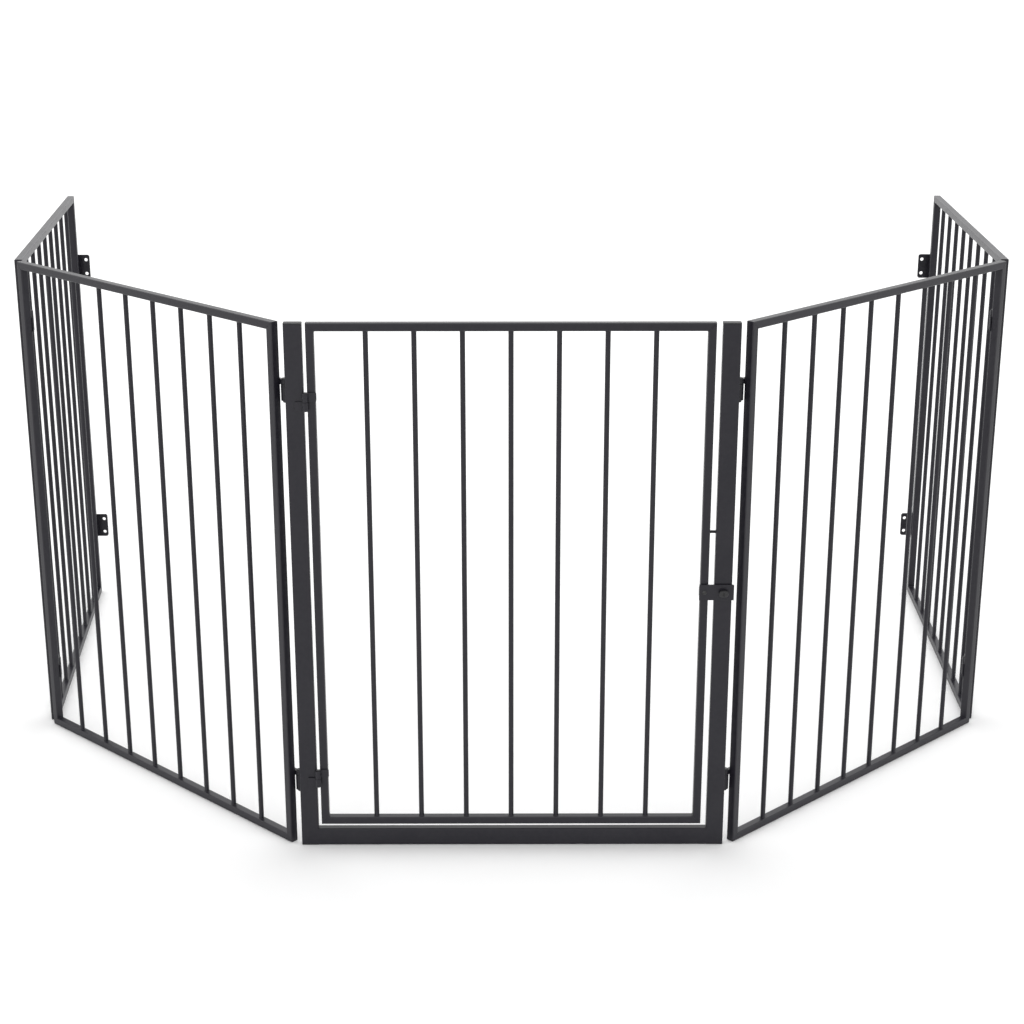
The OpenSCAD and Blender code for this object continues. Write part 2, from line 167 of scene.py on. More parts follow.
class Bench:
    """Makes the nodes of one material."""

    def __init__(self, name: str) -> None:
        """Starts an empty material.

        Args:
            name: The material's name.
        """
        self.material = bpy.data.materials.new(name)
        self.material.use_nodes = True
        self.tree = self.material.node_tree
        self.tree.nodes.clear()

    def node(self, kind: str, settings: dict[str, Any], inputs: dict[Any, Any]) -> bpy.types.Node:
        """Adds a node.

        Args:
            kind: The node's type.
            settings: Attributes of the node, set before its sockets.
            inputs: A value or a link for each socket, by name or number.

        Returns:
            The new node.
        """
        made = self.tree.nodes.new(kind)
        for key, value in settings.items():
            setattr(made, key, value)
        for key, value in inputs.items():
            source = value.socket if isinstance(value, Value) else value
            if isinstance(source, bpy.types.NodeSocket):
                self.tree.links.new(source, made.inputs[key])
            else:
                made.inputs[key].default_value = source
        return made

    def place(self, stretch: Sequence[float] = (1, 1, 1)) -> bpy.types.NodeSocket:
        """The object's own coordinates, in metres.

        Args:
            stretch: The factor on each axis.

        Returns:
            A vector socket.
        """
        coords = self.node("ShaderNodeTexCoord", {}, {})
        inputs = {"Vector": coords.outputs["Object"], "Scale": stretch}
        mapped = self.node("ShaderNodeMapping", {}, inputs)
        return mapped.outputs["Vector"]

    def noise(self, where: bpy.types.NodeSocket, size: float, detail: float = 2.0) -> Value:
        """Soft noise between 0 and 1.

        Args:
            where: The coordinates.
            size: The width of a blob, in metres.
            detail: How many finer layers are added.

        Returns:
            The noise.
        """
        inputs = {"Vector": where, "Scale": 1 / size, "Detail": detail, "Roughness": NOISE_ROUGHNESS}
        return Value(self, self.node("ShaderNodeTexNoise", {}, inputs).outputs["Fac"])

    def specks(self, where: bpy.types.NodeSocket, spacing: float, radius: float) -> Value:
        """1 in small round specks, otherwise 0.

        Args:
            where: The coordinates.
            spacing: The distance between specks, in metres.
            radius: The radius of a speck, as a share of the spacing.

        Returns:
            The mask.
        """
        cells = self.node("ShaderNodeTexVoronoi", {}, {"Vector": where, "Scale": 1 / spacing})
        return Value(self, cells.outputs["Distance"]) < radius

    def rub(self) -> Value:
        """1 on the faces that a maker's tool or a hand has rounded over, otherwise 0."""
        made = self.node("ShaderNodeAttribute", {"attribute_name": RUB}, {})
        return Value(self, made.outputs["Fac"])

    def blend(self, share: Value, low: Sequence[float], high: Sequence[float]) -> bpy.types.NodeSocket:
        """A colour between two others.

        Args:
            share: 0 for the first colour, 1 for the second.
            low: The first colour, as red, green and blue.
            high: The second colour.

        Returns:
            A colour socket.
        """
        inputs = {"Factor": share, 6: (*low, 1.0), 7: (*high, 1.0)}
        made = self.node("ShaderNodeMix", {"data_type": "RGBA"}, inputs)
        return made.outputs[2]

    def bump(self, height: Value, strength: float, distance: float) -> bpy.types.NodeSocket:
        """A normal that follows a height.

        Args:
            height: The height, between 0 and 1.
            strength: How much of it shows.
            distance: What a height of 1 means, in metres.

        Returns:
            A normal socket.
        """
        inputs = {"Height": height, "Strength": strength, "Distance": distance}
        return self.node("ShaderNodeBump", {}, inputs).outputs["Normal"]

    def surface(self, inputs: dict[str, Any]) -> bpy.types.Material:
        """Ends the material with one Principled shader.

        Args:
            inputs: The shader's sockets.

        Returns:
            The finished material.
        """
        shader = self.node("ShaderNodeBsdfPrincipled", {}, inputs)
        self.node("ShaderNodeOutputMaterial", {}, {"Surface": shader.outputs["BSDF"]})
        return self.material


# ---- Finishes ----


@dataclass(frozen=True)
class PowderCoat:
    """Satin black powder coat: a fine orange peel, a few pinhead nibs, and thinner, glossier edges."""

    slot: str = "black_powder_coat"
    deep: tuple[float, float, float] = (0.0080, 0.0072, 0.0126)
    thin: tuple[float, float, float] = (0.025, 0.0240, 0.0295)
    gloss: float = 0.40
    peel_size: float = 1.5 * MM
    grain_size: float = 0.35 * MM
    cloud_size: float = 7 * MM
    drift_size: float = 90 * MM
    nib_spacing: float = 4.5 * MM
    nib_radius: float = 0.045
    bump_strength: float = 0.30
    bump_depth: float = 0.12 * MM

    def build(self) -> bpy.types.Material:
        """Writes the material.

        Returns:
            The finished material.
        """
        bench = Bench(self.slot)
        where = bench.place()
        peel = bench.noise(where, self.peel_size)
        grain = bench.noise(where, self.grain_size, detail=1.0)
        cloud = bench.noise(where, self.cloud_size, detail=3.0)
        drift = bench.noise(where, self.drift_size, detail=3.0)
        nibs = bench.specks(where, self.nib_spacing, self.nib_radius)
        rub = bench.rub()
        share = (0.7 * drift + 0.6 * cloud + 0.4 * grain - 0.6 + 0.5 * rub + 0.3 * nibs).clamped()
        rough = self.gloss + 0.12 * (drift - 0.5) + 0.12 * (cloud - 0.5)
        rough = rough + 0.08 * (grain - 0.5) - 0.06 * rub
        height = 0.65 * peel + 0.25 * grain + 0.5 * nibs
        return bench.surface({
            "Base Color": bench.blend(share, self.deep, self.thin),
            "Roughness": rough.clamped(),
            "Normal": bench.bump(height, self.bump_strength, self.bump_depth),
            "Specular IOR Level": 0.30,
            "Coat Weight": 0.12,
            "Coat Roughness": 0.22,
        })


@dataclass(frozen=True)
class MouldedPlastic:
    """Matt black plastic with a spark-eroded texture and faint flow clouds."""

    slot: str = "black_plastic"
    deep: tuple[float, float, float] = (0.010, 0.010, 0.011)
    pale: tuple[float, float, float] = (0.028, 0.028, 0.030)
    grain_size: float = 0.45 * MM
    cloud_size: float = 9 * MM
    bump_strength: float = 0.35
    bump_depth: float = 0.08 * MM

    def build(self) -> bpy.types.Material:
        """Writes the material.

        Returns:
            The finished material.
        """
        bench = Bench(self.slot)
        where = bench.place()
        grain = bench.noise(where, self.grain_size, detail=3.0)
        cloud = bench.noise(where, self.cloud_size)
        share = (0.5 * cloud + 0.4 * grain - 0.1 + 0.3 * bench.rub()).clamped()
        return bench.surface({
            "Base Color": bench.blend(share, self.deep, self.pale),
            "Roughness": (0.50 + 0.14 * (grain - 0.5) + 0.08 * (cloud - 0.5)).clamped(),
            "Normal": bench.bump(grain, self.bump_strength, self.bump_depth),
            "Specular IOR Level": 0.45,
        })


@dataclass(frozen=True)
class BlackenedSteel:
    """Turned steel, blackened: fine rings round the upright axis, brighter where it has rubbed."""

    slot: str = "dark_steel"
    deep: tuple[float, float, float] = (0.035, 0.034, 0.034)
    worn: tuple[float, float, float] = (0.13, 0.13, 0.135)
    ring_size: float = 0.25 * MM
    patch_size: float = 3.5 * MM
    ring_stretch: tuple[float, float, float] = (0.04, 0.04, 1.0)
    bump_strength: float = 0.25
    bump_depth: float = 0.05 * MM

    def build(self) -> bpy.types.Material:
        """Writes the material.

        Returns:
            The finished material.
        """
        bench = Bench(self.slot)
        rings = bench.noise(bench.place(self.ring_stretch), self.ring_size, detail=2.0)
        patches = bench.noise(bench.place(), self.patch_size, detail=4.0)
        share = (0.9 * patches + 0.3 * rings - 0.35 + 0.35 * bench.rub()).clamped()
        return bench.surface({
            "Base Color": bench.blend(share, self.deep, self.worn),
            "Metallic": 0.85,
            "Roughness": (0.34 + 0.16 * (rings - 0.5) + 0.12 * (patches - 0.5)).clamped(),
            "Normal": bench.bump(rings, self.bump_strength, self.bump_depth),
        })


@dataclass(frozen=True)
class StudioFloor:
    """A plain, pale, matt floor with the faintest mottle."""

    slot: str = "studio_floor"
    pale: tuple[float, float, float] = (0.94, 0.94, 0.94)
    paler: tuple[float, float, float] = (0.96, 0.96, 0.96)
    mottle_size: float = 0.6

    def build(self) -> bpy.types.Material:
        """Writes the material.

        Returns:
            The finished material.
        """
        bench = Bench(self.slot)
        mottle = bench.noise(bench.place(), self.mottle_size, detail=3.0)
        return bench.surface({
            "Base Color": bench.blend(mottle, self.pale, self.paler),
            "Roughness": (0.85 + 0.1 * (mottle - 0.5)).clamped(),
            "Specular IOR Level": 0.15,
        })


# ---- Places ----


@dataclass(frozen=True)
class Place:
    """The frame of a piece that may be turned and mirrored: X along it, Y to its back, Z up."""

    origin: Vector
    along: Vector
    back: Vector

    @property
    def matrix(self) -> Matrix:
        """The matrix from this frame to the gate's."""
        up = Vector((0, 0, 1))
        turn = Matrix((self.along, self.back, up)).transposed().to_4x4()
        return Matrix.Translation(self.origin) @ turn

    def moved(self, x: float = 0.0, y: float = 0.0, z: float = 0.0) -> "Place":
        """A copy whose origin is moved in its own directions.

        Args:
            x: The move along the piece.
            y: The move to its back.
            z: The move upwards.

        Returns:
            The moved frame.
        """
        shift = self.along * x + self.back * y + Vector((0, 0, z))
        return Place(self.origin + shift, self.along, self.back)

    def span(self, node: str) -> tuple[Vector, Vector]:
        """The box of a CAD node, measured in this frame.

        Args:
            node: The node's name.

        Returns:
            Its lowest and highest corner.
        """
        inverse = self.matrix.inverted()
        mesh = bpy.data.objects[node].data
        points = [inverse @ corner.co for corner in mesh.vertices]
        low = Vector([min(p[i] for p in points) for i in range(3)])
        high = Vector([max(p[i] for p in points) for i in range(3)])
        return low, high


def middle(node: str) -> Vector:
    """The centre of a CAD node's box."""
    low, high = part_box(node)
    return (low + high) / 2


def upright_place(side: Side) -> Place:
    """The centre frame's own directions, mirrored for the left side.

    Args:
        side: The side to look towards.

    Returns:
        A frame at the gate's origin.
    """
    return Place(Vector((0, 0, 0)), Vector((side.value, 0, 0)), Vector((0, 1, 0)))


def panel_place(side: Side, kind: Kind) -> Place:
    """The frame of a panel, its origin at its inner end on the floor, at the middle of its depth.

    Args:
        side: The panel's side of the gate.
        kind: Side panel or wall panel.

    Returns:
        The panel's frame.
    """
    prefix = f"{side.word}_{kind.value}"
    inner = middle(f"{prefix}_inner_stile")
    outer = middle(f"{prefix}_outer_stile")
    along = Vector((outer.x - inner.x, outer.y - inner.y, 0)).normalized()
    back = Vector((-along.y, along.x, 0)) * side.value
    place = Place(Vector((inner.x, inner.y, 0)), along, back)
    low, _ = place.span(f"{prefix}_inner_stile")
    return place.moved(x=low.x)


# ---- Mesh work ----


def rounded(bm: bmesh.types.BMesh, edges: Iterable[bmesh.types.BMEdge], width: float,
            segments: int) -> None:
    """Rounds edges over and marks the new faces as rubbed.

    Args:
        bm: The mesh.
        edges: The edges to round.
        width: How far the rounding reaches from each edge, in metres.
        segments: How many faces it gets across.
    """
    layer = bm.faces.layers.float.get(RUB) or bm.faces.layers.float.new(RUB)
    made = bmesh.ops.bevel(
        bm, geom=list(edges), offset=width, offset_type="OFFSET", segments=segments, profile=0.5,
        affect="EDGES", clamp_overlap=True, material=-1,
    )
    for face in made["faces"]:
        face[layer] = 1.0


def sharp_edges(bm: bmesh.types.BMesh, angle: float = SHARP_ANGLE) -> list[bmesh.types.BMEdge]:
    """The edges whose faces meet at more than an angle."""
    return [edge for edge in bm.edges if len(edge.link_faces) == 2 and edge.calc_face_angle() > angle]


def prism(bm: bmesh.types.BMesh, low: Vector, high: Vector) -> list[bmesh.types.BMVert]:
    """Adds a box between two corners.

    Args:
        bm: The mesh.
        low: The lowest corner.
        high: The highest corner.

    Returns:
        The box's vertices.
    """
    size = Matrix.Diagonal((*(high - low), 1.0))
    made = bmesh.ops.create_cube(bm, size=1.0, matrix=Matrix.Translation((low + high) / 2) @ size)
    return made["verts"]


def lathe(bm: bmesh.types.BMesh, outline: Sequence[tuple[float, float]],
          steps: int) -> list[bmesh.types.BMVert]:
    """Spins an outline about Z into a closed solid.

    Args:
        bm: The mesh.
        outline: Points as radius and height, which start and end on the axis.
        steps: How many faces go round.

    Returns:
        The solid's vertices.
    """
    before = set(bm.verts)
    corners = [bm.verts.new((radius, 0, height)) for radius, height in outline]
    edges = [bm.edges.new(pair) for pair in zip(corners, corners[1:])]
    bmesh.ops.spin(
        bm, geom=corners + edges, cent=(0, 0, 0), axis=(0, 0, 1), angle=TURN, steps=steps, use_merge=True,
    )
    made = [vert for vert in bm.verts if vert not in before]
    bmesh.ops.remove_doubles(bm, verts=made, dist=MERGE_DIST)
    return [vert for vert in bm.verts if vert not in before]


def merged_copy(node: str) -> bmesh.types.BMesh:
    """Copies a CAD node's mesh, with its loose triangles joined into whole faces.

    Args:
        node: The node's name.

    Returns:
        The copy.
    """
    bm = bmesh.new()
    bm.from_mesh(bpy.data.objects[node].data)
    bmesh.ops.remove_doubles(bm, verts=bm.verts, dist=MERGE_DIST)
    bmesh.ops.dissolve_limit(bm, angle_limit=FLAT_ANGLE, verts=bm.verts, edges=bm.edges)
    return bm


def moved_verts(bm: bmesh.types.BMesh, verts: Iterable[bmesh.types.BMVert], matrix: Matrix) -> None:
    """Applies a matrix to some vertices."""
    bmesh.ops.transform(bm, matrix=matrix, verts=list(verts))


def sunk(radius: float) -> float:
    """How far the axis of a bead lies off the surface that it is welded to."""
    return radius / 3


def bead(bm: bmesh.types.BMesh, start: Vector, end: Vector, radius: float) -> None:
    """Adds a weld bead: a half-sunk run of overlapping puddles between two points.

    Args:
        bm: The mesh.
        start: Where the bead starts.
        end: Where it ends.
        radius: Its radius, in metres.
    """
    length = (end - start).length
    puddles = max(3, round(length / (PUDDLE_PITCH * radius)))
    outline = [(0.0, 0.0)]
    for puddle in range(puddles):
        for part, swell in PUDDLE_OUTLINE:
            outline.append((radius * swell, length * (puddle + part) / puddles))
    outline.append((0.0, length))
    verts = lathe(bm, outline, BEAD_STEPS)
    turn = Vector((0, 0, 1)).rotation_difference(end - start).to_matrix().to_4x4()
    moved_verts(bm, verts, Matrix.Translation(start) @ turn)


@dataclass
class Workshop:
    """Turns meshes into finished pieces of the gate."""

    finishes: dict[str, bpy.types.Material]
    pieces: list[str] = field(default_factory=list)

    def piece(self, name: str, bm: bmesh.types.BMesh, slot: str, body: str,
              stands_for: Sequence[str] = (), place: Matrix | None = None) -> bpy.types.Object:
        """Finishes a mesh as a piece that rides on a body.

        Args:
            name: The piece's name.
            bm: Its mesh, which is used up.
            slot: The finish it takes.
            body: The body it moves with.
            stands_for: The CAD nodes that it replaces.
            place: The matrix from the mesh's frame to the gate's.

        Returns:
            The new object.
        """
        if place is not None:
            bm.transform(place)
        bmesh.ops.dissolve_degenerate(bm, dist=MERGE_DIST / 10, edges=bm.edges)
        bm.normal_update()
        bmesh.ops.recalc_face_normals(bm, faces=bm.faces)
        for edge in sharp_edges(bm, CREASE_ANGLE):
            edge.smooth = False
        for face in bm.faces:
            face.smooth = True
        mesh = bpy.data.meshes.new(name)
        bm.to_mesh(mesh)
        bm.free()
        mesh.materials.append(self.finishes[slot])
        made = bpy.data.objects.new(name, mesh)
        bpy.context.scene.collection.objects.link(made)
        weigh = made.modifiers.new("even_normals", "WEIGHTED_NORMAL")
        weigh.keep_sharp = True
        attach(made, body)
        if stands_for:
            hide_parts(*stands_for)
        self.pieces.append(name)
        LOG.info("%s: %d faces, rides on %s", name, len(mesh.polygons), body)
        return made

    def eased(self, node: str, slot: str, body: str, width: float, segments: int = 2) -> bpy.types.Object:
        """Makes a copy of a CAD node with its sharp edges eased.

        Args:
            node: The node.
            slot: The finish it takes.
            body: The body it moves with.
            width: How far the easing reaches from each edge, in metres.
            segments: How many faces it gets across.

        Returns:
            The new object.
        """
        bm = merged_copy(node)
        rounded(bm, sharp_edges(bm), width, segments)
        return self.piece(f"{node}_eased", bm, slot, body, [node])


# ---- Rims: four mitred tubes and a row of bars ----


@dataclass
class Rim:
    """A welded frame of four mitred tubes with upright bars between its rails."""

    prefix: str
    body: str
    place: Place
    stiles: tuple[str, str]
    bars: int
    corner_radius: float = 1.6 * MM
    corner_steps: int = 4
    seam: float = 0.30 * MM
    weld_flare: float = 1.0 * MM
    weld_height: float = 1.6 * MM
    weld_wave: float = 0.035
    weld_ripple: float = 0.02
    bar_steps: int = 28
    base: float = field(init=False)
    height: float = field(init=False)
    width: float = field(init=False)
    depth: float = field(init=False)
    face: float = field(init=False)
    bar_radius: float = field(init=False)
    bar_first: float = field(init=False)
    bar_last: float = field(init=False)

    def build(self, shop: Workshop) -> None:
        """Makes the tubes and the bars.

        Args:
            shop: Where the pieces are finished.
        """
        self.measure()
        for node, turn, length in self.tubes():
            shop.piece(f"{node}_tube", self.tube(length), PowderCoat.slot, self.body, [node],
                       self.place.matrix @ turn)
        bars = f"{self.prefix}_bars"
        shop.piece(f"{bars}_welded", self.bar_row(), PowderCoat.slot, self.body, [bars],
                   self.place.matrix)

    def measure(self) -> None:
        """Reads the rim's sizes from its nodes."""
        low, _ = self.place.span(f"{self.prefix}_bottom_rail")
        _, high = self.place.span(f"{self.prefix}_top_rail")
        self.base = low.z
        self.height = high.z - low.z
        self.width = high.x - low.x
        self.depth = high.y - low.y
        stile_low, stile_high = self.place.span(self.stiles[0])
        self.face = stile_high.x - stile_low.x
        bar_low, bar_high = self.place.span(f"{self.prefix}_bars")
        self.bar_radius = (bar_high.y - bar_low.y) / 2
        self.bar_first = bar_low.x + self.bar_radius
        self.bar_last = bar_high.x - self.bar_radius

    def tubes(self) -> list[tuple[str, Matrix, float]]:
        """The four tubes: the node, the turn of its frame, and its length."""
        raise_up = Matrix.Translation((0, 0, self.base))
        stand = Matrix.Rotation(-math.pi / 2, 4, "Y")
        flip_x = Matrix.Diagonal((-1, 1, 1, 1))
        flip_z = Matrix.Diagonal((1, 1, -1, 1))
        lift = Matrix.Translation((0, 0, self.height))
        shift = Matrix.Translation((self.width, 0, 0))
        return [
            (f"{self.prefix}_bottom_rail", raise_up, self.width),
            (f"{self.prefix}_top_rail", raise_up @ lift @ flip_z, self.width),
            (self.stiles[0], raise_up @ flip_x @ stand, self.height),
            (self.stiles[1], raise_up @ shift @ stand, self.height),
        ]

    def tube(self, length: float) -> bmesh.types.BMesh:
        """One tube along X with its outer edge on Z = 0, mitred at both ends.

        Args:
            length: Its outer length.

        Returns:
            The mesh.
        """
        bm = bmesh.new()
        half = self.depth / 2
        prism(bm, Vector((0, -half, 0)), Vector((length, half, self.face)))
        for vert in bm.verts:
            if vert.co.z > self.face / 2:
                vert.co.x += self.face if vert.co.x < length / 2 else -self.face
        long_edges = [
            edge for edge in bm.edges
            if abs((edge.verts[0].co - edge.verts[1].co).x) > length / 2
        ]
        rounded(bm, long_edges, self.corner_radius, self.corner_steps)
        bm.faces.ensure_lookup_table()
        ends = [face for face in bm.faces if len(face.verts) > 4]
        for end in ends:
            inward = 1 if end.calc_center_median().x < length / 2 else -1
            rim = list(end.verts)
            bmesh.ops.inset_individual(bm, faces=[end], thickness=self.seam, depth=0.0)
            for vert in rim:
                vert.co.x += inward * self.seam
        return bm

    def bar_row(self) -> bmesh.types.BMesh:
        """The row of bars, each with a small weld fillet where it meets the rails."""
        bm = bmesh.new()
        low = self.base + self.face
        high = self.base + self.height - self.face
        fillet = [(math.sin(step * math.pi / 8), math.cos(step * math.pi / 8)) for step in range(5)]
        foot = [
            (self.bar_radius + self.weld_flare * (1 - rise), low + self.weld_height * (1 - run))
            for rise, run in fillet
        ]
        head = [(radius, low + high - height) for radius, height in reversed(foot)]
        for number in range(self.bars):
            verts = lathe(bm, [(0.0, low), *foot, *head, (0.0, high)], self.bar_steps)
            for vert in verts:
                reach = math.hypot(vert.co.x, vert.co.y)
                if reach > self.bar_radius + MERGE_DIST:
                    angle = math.atan2(vert.co.y, vert.co.x)
                    swell = self.swell(angle, number)
                    vert.co.x *= swell
                    vert.co.y *= swell
            step = (self.bar_last - self.bar_first) / (self.bars - 1)
            moved_verts(bm, verts, Matrix.Translation((self.bar_first + number * step, 0, 0)))
        return bm

    def swell(self, angle: float, number: int) -> float:
        """How far the weld of a bar bulges in one direction.

        Args:
            angle: The direction, in radians.
            number: Which bar it is, so that no two welds are alike.

        Returns:
            The factor on the distance from the bar's axis.
        """
        wave = self.weld_wave * math.sin(5 * angle + number)
        ripple = self.weld_ripple * math.sin(11 * angle + 2 * number)
        return 1 + wave + ripple

    def weld_corners(self, bm: bmesh.types.BMesh, radius: float = 0.9 * MM) -> None:
        """Adds a bead across each inner corner, in the rim's own frame.

        Args:
            bm: The mesh the beads go to.
            radius: The beads' radius.
        """
        half = self.depth / 2 - self.corner_radius
        for x in (self.face, self.width - self.face):
            for z in (self.base + self.face, self.base + self.height - self.face):
                bead(bm, Vector((x, -half, z)), Vector((x, half, z)), radius)


# ---- Hinges between panels ----


@dataclass
class EyeStrip:
    """A hinge eye: a strip rolled round the pin, with a leaf welded to the back of its owner."""

    node: str
    body: str
    place: Place
    roll: float = math.radians(302)
    roll_steps: int = 40
    edge: float = 0.28 * MM
    edge_angle: float = math.radians(60)

    def build(self, shop: Workshop) -> None:
        """Makes both eyes of the node as one piece.

        Args:
            shop: Where the piece is finished.
        """
        bm = bmesh.new()
        for low, high in self.heights():
            self.strip(bm, low, high)
        rounded(bm, sharp_edges(bm, self.edge_angle), self.edge, 2)
        shop.piece(f"{self.node}_rolled", bm, PowderCoat.slot, self.body, [self.node], self.place.matrix)

    def heights(self) -> list[tuple[float, float]]:
        """The lowest and highest point of each of the two eyes."""
        levels = [vert.co.z for vert in bpy.data.objects[self.node].data.vertices]
        centre = (min(levels) + max(levels)) / 2
        lower = [z for z in levels if z < centre]
        upper = [z for z in levels if z > centre]
        return [(min(lower), max(lower)), (min(upper), max(upper))]

    def strip(self, bm: bmesh.types.BMesh, low: float, high: float) -> None:
        """Rolls one strip about the pin's axis, which is the frame's Z.

        Args:
            bm: The mesh.
            low: The strip's lower edge.
            high: Its upper edge.
        """
        corner_low, corner_high = self.place.span(self.node)
        ring = corner_high.x
        leaf_y = corner_low.y
        gap = -ring - leaf_y
        thick = ring - self.bore(ring)
        start = [(leaf_y, low), (leaf_y + thick, low), (leaf_y + thick, high), (leaf_y, high)]
        face = bm.faces.new([bm.verts.new((corner_low.x, y, z)) for y, z in start])
        for shift in ((-corner_low.x - ring, 0), (ring, gap)):
            made = bmesh.ops.extrude_face_region(bm, geom=[face])["geom"]
            verts = [item for item in made if isinstance(item, bmesh.types.BMVert)]
            face = next(item for item in made if isinstance(item, bmesh.types.BMFace))
            bmesh.ops.translate(bm, vec=(*shift, 0), verts=verts)
        bmesh.ops.spin(
            bm, geom=[*face.verts, *face.edges, face], cent=(0, 0, 0), axis=(0, 0, 1), angle=self.roll,
            steps=self.roll_steps, use_merge=False,
        )
        inner = [item for item in bm.faces if all(len(edge.link_faces) > 2 for edge in item.edges)]
        bmesh.ops.delete(bm, geom=inner, context="FACES_ONLY")

    def bore(self, ring: float) -> float:
        """The radius of the eye's bore.

        Args:
            ring: The eye's outer radius.

        Returns:
            The smallest distance of the node's vertices from the pin's axis.
        """
        inverse = self.place.matrix.inverted()
        points = [inverse @ vert.co for vert in bpy.data.objects[self.node].data.vertices]
        return min(math.hypot(p.x, p.y) for p in points if math.hypot(p.x, p.y) < ring)

    def weld(self, bm: bmesh.types.BMesh, radius: float = 0.9 * MM) -> None:
        """Adds the bead along each leaf's end, in the gate's frame.

        Args:
            bm: The mesh the beads go to.
            radius: The beads' radius.
        """
        corner, _ = self.place.span(self.node)
        for low, high in self.heights():
            levels = (low + WELD_MARGIN, high - WELD_MARGIN)
            ends = [Vector((corner.x, corner.y + sunk(radius), z)) for z in levels]
            bead(bm, self.place.matrix @ ends[0], self.place.matrix @ ends[1], radius)


@dataclass
class Hooks:
    """The hooks of one panel: flat arms welded to its back, and pins that drop into the eyes."""

    prefix: str
    body: str
    place: Place
    arm_edge: float = 0.5 * MM
    weld_run: float = 10 * MM
    head_over: float = 1.0 * MM
    head_height: float = 1.2 * MM
    head_dome: float = 0.7 * MM
    chamfer: float = 0.7 * MM
    dome_steps: int = 5
    pin_steps: int = 32

    def build(self, shop: Workshop) -> None:
        """Makes the arms and the pins.

        Args:
            shop: Where the pieces are finished.
        """
        shop.eased(f"{self.prefix}_hook_arms", PowderCoat.slot, self.body, self.arm_edge)
        node = f"{self.prefix}_hook_pins"
        eyes = EyeStrip(node, self.body, self.place)
        low, high = self.place.span(node)
        centre = (low + high) / 2
        head = (high.x - low.x) / 2
        shaft = head - self.head_over
        bm = bmesh.new()
        for bottom, top in eyes.heights():
            outline = [(0.0, bottom), (shaft - self.chamfer, bottom), (shaft, bottom + self.chamfer)]
            outline += [(shaft, top - self.head_height), (head, top - self.head_height)]
            for step in range(self.dome_steps + 1):
                angle = step / self.dome_steps * math.pi / 2
                rise = self.head_dome * math.sin(angle)
                outline.append((head * math.cos(angle), top - self.head_dome + rise))
            verts = lathe(bm, outline, self.pin_steps)
            moved_verts(bm, verts, Matrix.Translation((centre.x, centre.y, 0)))
        shop.piece(f"{node}_turned", bm, BlackenedSteel.slot, self.body, [node], self.place.matrix)

    def weld(self, bm: bmesh.types.BMesh, radius: float = 0.8 * MM) -> None:
        """Adds a bead above and below each arm where it meets the stile, in the gate's frame.

        Args:
            bm: The mesh the beads go to.
            radius: The beads' radius.
        """
        node = f"{self.prefix}_hook_arms"
        low, high = self.place.span(node)
        for levels in EyeStrip(node, self.body, self.place).heights():
            for z in levels:
                reach = (high.x - self.weld_run, high.x - WELD_MARGIN)
                ends = [Vector((x, low.y + sunk(radius), z)) for x in reach]
                bead(bm, self.place.matrix @ ends[0], self.place.matrix @ ends[1], radius)


def joint_point(name: str, joints: Sequence[dict[str, Any]]) -> Vector:
    """Where a joint's axis stands on the floor.

    Args:
        name: The joint's name.
        joints: The frame's joints.

    Returns:
        The point, at height 0.
    """
    found = next(joint for joint in joints if joint["name"] == name)
    return Vector((found["pos_m"][0], found["pos_m"][1], 0))


# ---- Sub-assemblies ----


@dataclass
class Panel:
    """A side panel or a wall panel with everything welded to it."""

    side: Side
    kind: Kind
    joints: Sequence[dict[str, Any]]
    bars: int = 8
    lug_edge: float = 0.35 * MM
    lug_bead: float = 0.9 * MM
    pin_edge: float = 0.35 * MM

    @property
    def prefix(self) -> str:
        """The start of the panel's node names."""
        return f"{self.side.word}_{self.kind.value}"

    @property
    def body(self) -> str:
        """The panel's body."""
        return f"{self.prefix}_panel"

    def build(self, shop: Workshop) -> None:
        """Makes the panel's rim, hinges and welds.

        Args:
            shop: Where the pieces are finished.
        """
        place = panel_place(self.side, self.kind)
        stiles = (f"{self.prefix}_inner_stile", f"{self.prefix}_outer_stile")
        rim = Rim(self.prefix, self.body, place, stiles, self.bars)
        rim.build(shop)
        welds = bmesh.new()
        rim.weld_corners(welds)
        welds.transform(place.matrix)
        pivot = joint_point(f"{self.prefix}_fold", self.joints)
        hooks = Hooks(self.prefix, self.body, Place(pivot, place.along, place.back))
        hooks.build(shop)
        hooks.weld(welds)
        if self.kind is Kind.SIDE:
            self.add_eyes(shop, place, welds)
        else:
            self.add_lugs(shop, place, welds)
        shop.piece(f"{self.prefix}_welds", welds, PowderCoat.slot, self.body)

    def add_eyes(self, shop: Workshop, place: Place, welds: bmesh.types.BMesh) -> None:
        """Makes the eyes that the wall panel hangs on.

        Args:
            shop: Where the piece is finished.
            place: The panel's frame.
            welds: The mesh for weld beads.
        """
        pivot = joint_point(f"{self.side.word}_wall_fold", self.joints)
        eyes = EyeStrip(f"{self.prefix}_eyes", self.body, Place(pivot, place.along, place.back))
        eyes.build(shop)
        eyes.weld(welds)

    def add_lugs(self, shop: Workshop, place: Place, welds: bmesh.types.BMesh) -> None:
        """Makes the lugs and pins of the wall brackets.

        Args:
            shop: Where the pieces are finished.
            place: The panel's frame.
            welds: The mesh for weld beads.
        """
        lugs = f"{self.prefix}_bracket_lugs"
        shop.eased(lugs, PowderCoat.slot, self.body, self.lug_edge)
        shop.eased(f"{self.prefix}_bracket_pins", BlackenedSteel.slot, self.body, self.pin_edge)
        low, high = place.span(lugs)
        depths = (low.y + WELD_MARGIN, high.y - WELD_MARGIN)
        pairs = EyeStrip(lugs, self.body, place).heights()
        for z in (level for pair in pairs for level in pair):
            ends = [Vector((low.x + sunk(self.lug_bead), y, z)) for y in depths]
            bead(welds, place.matrix @ ends[0], place.matrix @ ends[1], self.lug_bead)


